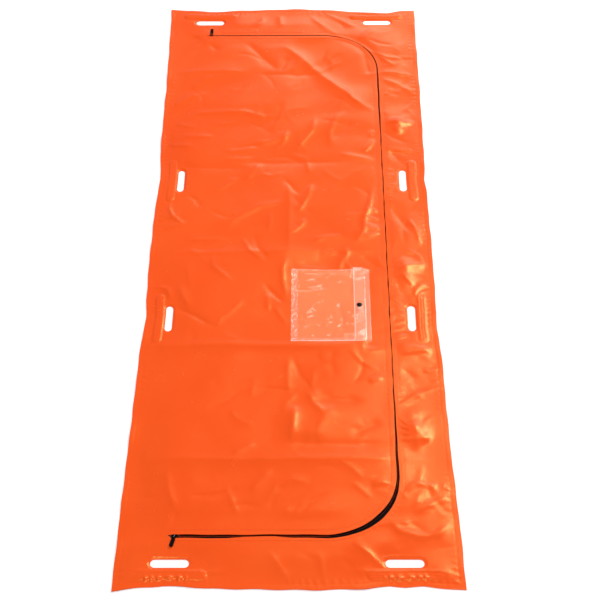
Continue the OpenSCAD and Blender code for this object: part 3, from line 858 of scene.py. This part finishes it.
def beads(name, centres, ways, half, finish):
    """Many small rounded blocks in one mesh. Each lies along its own way, half = half sizes."""
    hl, hw, hh = half
    rings = np.array([(-1, 0.55), (-0.6, 1), (0.6, 1), (1, 0.55)])
    corners = np.array([(-1, -0.5), (-0.5, -1), (0.5, -1), (1, -0.5),
                        (1, 0.5), (0.5, 1), (-0.5, 1), (-1, 0.5)])
    local = np.array([(a * hl, c[0] * k * hw, c[1] * k * hh) for a, k in rings for c in corners])
    faces = [[8 * r + j, 8 * r + (j + 1) % 8, 8 * r + 8 + (j + 1) % 8, 8 * r + 8 + j]
             for r in range(3) for j in range(8)]
    faces += [list(range(7, -1, -1)), list(range(24, 32))]
    n = len(centres)
    ux, uy = ways
    vx, vy = -uy, ux
    points = np.empty((n, 32, 3))
    points[..., 0] = centres[:, None, 0] + ux[:, None] * local[:, 0] + vx[:, None] * local[:, 1]
    points[..., 1] = centres[:, None, 1] + uy[:, None] * local[:, 0] + vy[:, None] * local[:, 1]
    points[..., 2] = centres[:, None, 2] + local[:, 2]
    mesh = bpy.data.meshes.new(name)
    mesh.from_pydata(points.reshape(-1, 3) * 0.001, [],
                     [[32 * k + i for i in face] for k in range(n) for face in faces])
    mesh.shade_smooth()
    mesh.materials.append(finish)
    made = bpy.data.objects.new(name, mesh)
    scene.collection.objects.link(made)
    return made


def coil_half(name, side, start):
    """A row of nylon coil loops, each one turn of the monofilament."""
    s = np.arange(start, zip_l - start, 2.3) + 0.55 * side
    x, y, nx, ny = zip_way(s)
    middle = np.where(x > 100, 0.3 + 2.9 / 2, (0.9 + coil_out) / 2)
    px, py = drawn_in(x + side * nx * middle, y + side * ny * middle)
    made = beads(name, np.stack([px, py, np.full(len(s), coil_z)], 1), (nx, ny),
                 ((coil_out - 0.9) / 2, 0.95, 1.0), black_nylon_painted_shade)
    return made


def seam(name, side, start):
    """A row of lockstitches through the sheet and the tape."""
    s = np.arange(start, zip_l - start, 4.2)
    x, y, z = under_cloth(s, side * stitch_d)
    _, _, nx, ny = zip_way(s)
    px, py = drawn_in(x, y)
    made = beads(name, np.stack([px, py, z + 0.12], 1), (-ny, nx), (1.7, 0.34, 0.3), orange_thread)
    return made


# The outer half is held by the border, and a short whole tape ends it beyond each slider
outer_tape = tape_half("zip_tape_border", 1, 6)
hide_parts("zip_tape_outer")
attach(outer_tape, "bag")
for end in (-1, 1):
    span = np.linspace(-tape_w, tape_w, 15)
    flat = np.array([(a, b) for a in (-287, -281, -276.2) for b in span])
    faces = np.array([f for i in range(2) for j in range(14)
                      for f in ((15 * i + j, 15 * i + j + 15, 15 * i + j + 16),
                                (15 * i + j, 15 * i + j + 16, 15 * i + j + 1))])
    px, py = drawn_in(flat[:, 0], end * zip_y + flat[:, 1])
    top = np.stack([px, py, np.full(len(px), coil_z + 0.3)], 1)
    whole = sewn_up("zip_tape_end_" + ("foot" if end < 0 else "head"), flat, faces, top, 0.5,
                    black_tape_painted_shade)
    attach(whole, "bag")
outer_coil = coil_half("zip_coil_border", 1, 8)
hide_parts("zip_coil_outer")
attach(outer_coil, "bag")
outer_seam = seam("zip_seam_border", 1, 4)
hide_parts("zip_stitching_outer")
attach(outer_seam, "bag")
# The inner half's tape and coil start past the bend, and go with the flap
inner_tape = tape_half("zip_tape_flap", -1, 26)
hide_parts("zip_tape_inner")
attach(inner_tape, "flap")
inner_coil = coil_half("zip_coil_flap", -1, 27)
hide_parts("zip_coil_inner")
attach(inner_coil, "flap")
inner_seam = seam("zip_seam_flap", -1, 4)
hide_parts("zip_stitching_inner")
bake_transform(inner_seam)

# The sliders are black painted die castings, and the pulls black moulded tabs
# on a wire link. Their shapes come from the frame; only the finish is added.
black_paint = dull("black_paint", (0.004, 0.004, 0.004), (0.012, 0.012, 0.013), 260, 0.4, 0.2)
black_rubber = dull("black_rubber", (0.002, 0.002, 0.002), (0.006, 0.006, 0.0065), 340, 0.75)
dark_wire = dull("dark_wire", (0.10, 0.10, 0.105), (0.24, 0.24, 0.25), 420, 0.35, 1.0)
for names, finish in (
        (("head_slider", "foot_slider"), black_paint),
        (("head_pull_tab", "foot_pull_tab"), black_rubber),
        (("head_pull_link", "foot_pull_link", "zip_stop_head", "zip_stop_foot"), dark_wire)):
    for name in names:
        nodes[name].data.materials.clear()
        nodes[name].data.materials.append(finish)

# ------------------------------------------------------- the document pocket
# Clear PVC film, 0.3 mm thick, welded to the flap on three sides and open at
# the right, where a lid folds back over it and closes with a press stud. The
# welds are crinkled from the heat, and the lid and both films have soft dents.

pocket_lo, pocket_hi = [c * 1000 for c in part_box("pocket_back_film")]
lid_lo, lid_hi = [c * 1000 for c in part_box("pocket_lid")]
film_t = 0.3
snap_x, snap_y = [(a + b) * 500 for a, b in zip(*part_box("snap_cap"))][:2]
tray_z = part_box("pocket_front_film")[1].z * 1000
lid_top = lid_hi.z


def clear_film(name, milky, low=(1.0, 0.77, 0.29), high=(1.0, 0.87, 0.42)):
    """Clear plasticised film: glossy, a little milky, and wavy enough to break up the shine."""
    made = bpy.data.materials.new(name)
    made.use_nodes = True
    tree = made.node_tree
    shader = tree.nodes["Principled BSDF"]
    place = tree.nodes.new("ShaderNodeUVMap")
    place.uv_map = "cut"
    cloud = node_of(tree, "ShaderNodeTexNoise", Vector=place.outputs[0], Scale=38.0, Detail=5.0)
    tint = tree.nodes.new("ShaderNodeValToRGB")
    tint.color_ramp.elements[0].color = (*low, 1)
    tint.color_ramp.elements[1].color = (*high, 1)
    tree.links.new(cloud.outputs[0], tint.inputs[0])
    tree.links.new(tint.outputs[0], shader.inputs["Base Color"])
    bump = node_of(tree, "ShaderNodeBump", Height=cloud.outputs[0], Strength=0.35, Distance=0.0015)
    tree.links.new(bump.outputs[0], shader.inputs["Normal"])
    shader.inputs["Roughness"].default_value = 0.09
    shader.inputs["Specular IOR Level"].default_value = 1.0
    shader.inputs["IOR"].default_value = 2.5
    shader.inputs["Alpha"].default_value = milky
    return made


film = clear_film("clear_film", 0.12)
weld_film = clear_film("clear_film_welded", 0.20, (1.0, 0.89, 0.62), (1.0, 0.95, 0.76))
# paler, more opaque film that paints highlights and glints on the pocket's edges and crinkles
painted_highlight_film = clear_film("clear_film_painted_highlight", 0.55, (1.0, 0.93, 0.80), (1.0, 0.97, 0.90))


def crinkle(x, y, length, seed):
    """Sharp little dents, as in film that has been heated or crumpled."""
    return 0.5 - np.abs(waves(x, y, length, seed)) ** 0.7


def film_sheet(name, x0, x1, y0, y1, step, height, body, finish):
    """A rectangle of film at the height given over each point. finish says where it is
    clear, 0, welded, 1, or painted white as a highlight, 2."""
    xs = np.linspace(x0, x1, round((x1 - x0) / step) + 1)
    ys = np.linspace(y0, y1, round((y1 - y0) / step) + 1)
    gx, gy = np.meshgrid(xs, ys)
    rows, cols = gx.shape
    i = (np.arange(rows - 1)[:, None] * cols + np.arange(cols - 1)).ravel()
    faces = np.concatenate([np.stack([i, i + 1, i + cols + 1], 1),
                            np.stack([i, i + cols + 1, i + cols], 1)])
    mesh = bpy.data.meshes.new(name)
    mesh.from_pydata(height(gx.ravel(), gy.ravel()) * 0.001, [], faces.tolist())
    flat = np.stack([gx.ravel(), gy.ravel()], 1)
    lay_uvs(mesh, flat)
    mesh.shade_smooth()
    for look in (film, weld_film, painted_highlight_film):
        mesh.materials.append(look)
    middle = flat[faces].mean(1)
    mesh.polygons.foreach_set("material_index", finish(*middle.T).astype(np.int32))
    made = bpy.data.objects.new(name, mesh)
    scene.collection.objects.link(made)
    made.visible_shadow = False    # the little light that it holds back, it passes on
    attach(made, body)
    return made


def back_shape(x, y):
    """Flat on the flap."""
    return np.stack([x, y, top_of(x, y) + film_t + 0.15], 1)


def front_shape(x, y):
    """Flat at the welds and raised over the pocket, up to the press stud."""
    base = top_of(x, y) + 2 * film_t + 0.3
    into = np.minimum(np.minimum((x - pocket_lo.x - 18) / 14, (y - pocket_lo.y - 9) / 16),
                      (pocket_hi.y - y - 9) / 16)
    full = smooth(0, 1, into)
    rise = (tray_z - base) * full * (0.42 + 0.25 * smooth(60, 190, x))
    stud = np.exp(-(((x - snap_x) / 26) ** 2 + ((y - snap_y) / 34) ** 2))
    rise = rise * (1 - stud) + (tray_z - base) * stud * full
    weld = 1 - smooth(0.0, 0.25, into)
    z = base + rise
    dents = 1.1 * crinkle(x, y, 75, 71) + 0.5 * crinkle(x, y, 38, 72) * smooth(-170, -260, y)
    z += full * (1 - stud) * dents
    z += weld * 1.3 * (crinkle(x, y, 12, 73) + 0.5)
    return np.stack([x, y, np.maximum(z, base)], 1)


back = film_sheet("pocket_back", pocket_lo.x, pocket_hi.x, pocket_lo.y, pocket_hi.y, 5,
                  back_shape, "flap", lambda x, y: 0 * x)
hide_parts("pocket_back_film")
front_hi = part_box("pocket_front_film")[1] * 1000


def front_finish(x, y):
    """Milky where it is welded, with white painted as glints on the crinkles of the left weld and as a
    highlight along the bottom edge.
    """
    weld = (x < pocket_lo.x + 17) | (y < pocket_lo.y + 12) | (y > pocket_hi.y - 5)
    # painted glints where the left weld's crinkles peak, and a painted highlight along the bottom edge
    painted_highlights = (crinkle(x, y, 34, 75) > 0.24) & (x < pocket_lo.x + 17) | (y < pocket_lo.y + 2.6)
    return np.where(weld & painted_highlights, 2, weld)


front = film_sheet("pocket_front", pocket_lo.x, front_hi.x, pocket_lo.y, pocket_hi.y, 2.6,
                   front_shape, "flap", front_finish)
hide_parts("pocket_front_film")


def lid_shape(x, y):
    """Up from the fold, over the front film, and lifting a little at its corners."""
    from_fold = lid_hi.x - x
    z = 7.35 + (lid_top - 7.35) * smooth(0, 17, from_fold) ** 0.8
    level = 1 - np.exp(-(((x - snap_x) / 16) ** 2 + ((y - snap_y) / 20) ** 2))
    z += level * smooth(10, 20, from_fold) * (
        0.8 * crinkle(x, y, 90, 81) + 0.12 * crinkle(x, y, 22, 82) - 0.4)
    end = np.maximum(np.abs(y - (lid_lo.y + lid_hi.y) / 2) - (lid_hi.y - lid_lo.y) / 2 + 26, 0) / 26
    z += 1.8 * end ** 2 * smooth(14, 43, from_fold)
    return np.stack([x, y, z], 1)


# the lid is milky welded film, with white painted as a highlight along its free edge
lid = film_sheet("pocket_cover_film", lid_lo.x, lid_hi.x, lid_lo.y, lid_hi.y, 2.6,
                 lid_shape, "pocket_cover",
                 lambda x, y: np.where(x < lid_lo.x + 2.6, 2, 1))
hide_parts("pocket_lid")

# The press stud keeps its shape from the frame: a black enamelled cap over plain steel
gloss_black = dull("gloss_black", (0.007, 0.007, 0.008), (0.02, 0.02, 0.022), 200, 0.16, 0.2)
snap_steel = dull("snap_steel", (0.38, 0.38, 0.38), (0.58, 0.58, 0.57), 500, 0.28, 1.0)
for name in ("snap_cap", "snap_socket", "snap_stud", "snap_post"):
    nodes[name].data.materials.clear()
    nodes[name].data.materials.append(gloss_black if name == "snap_cap" else snap_steel)
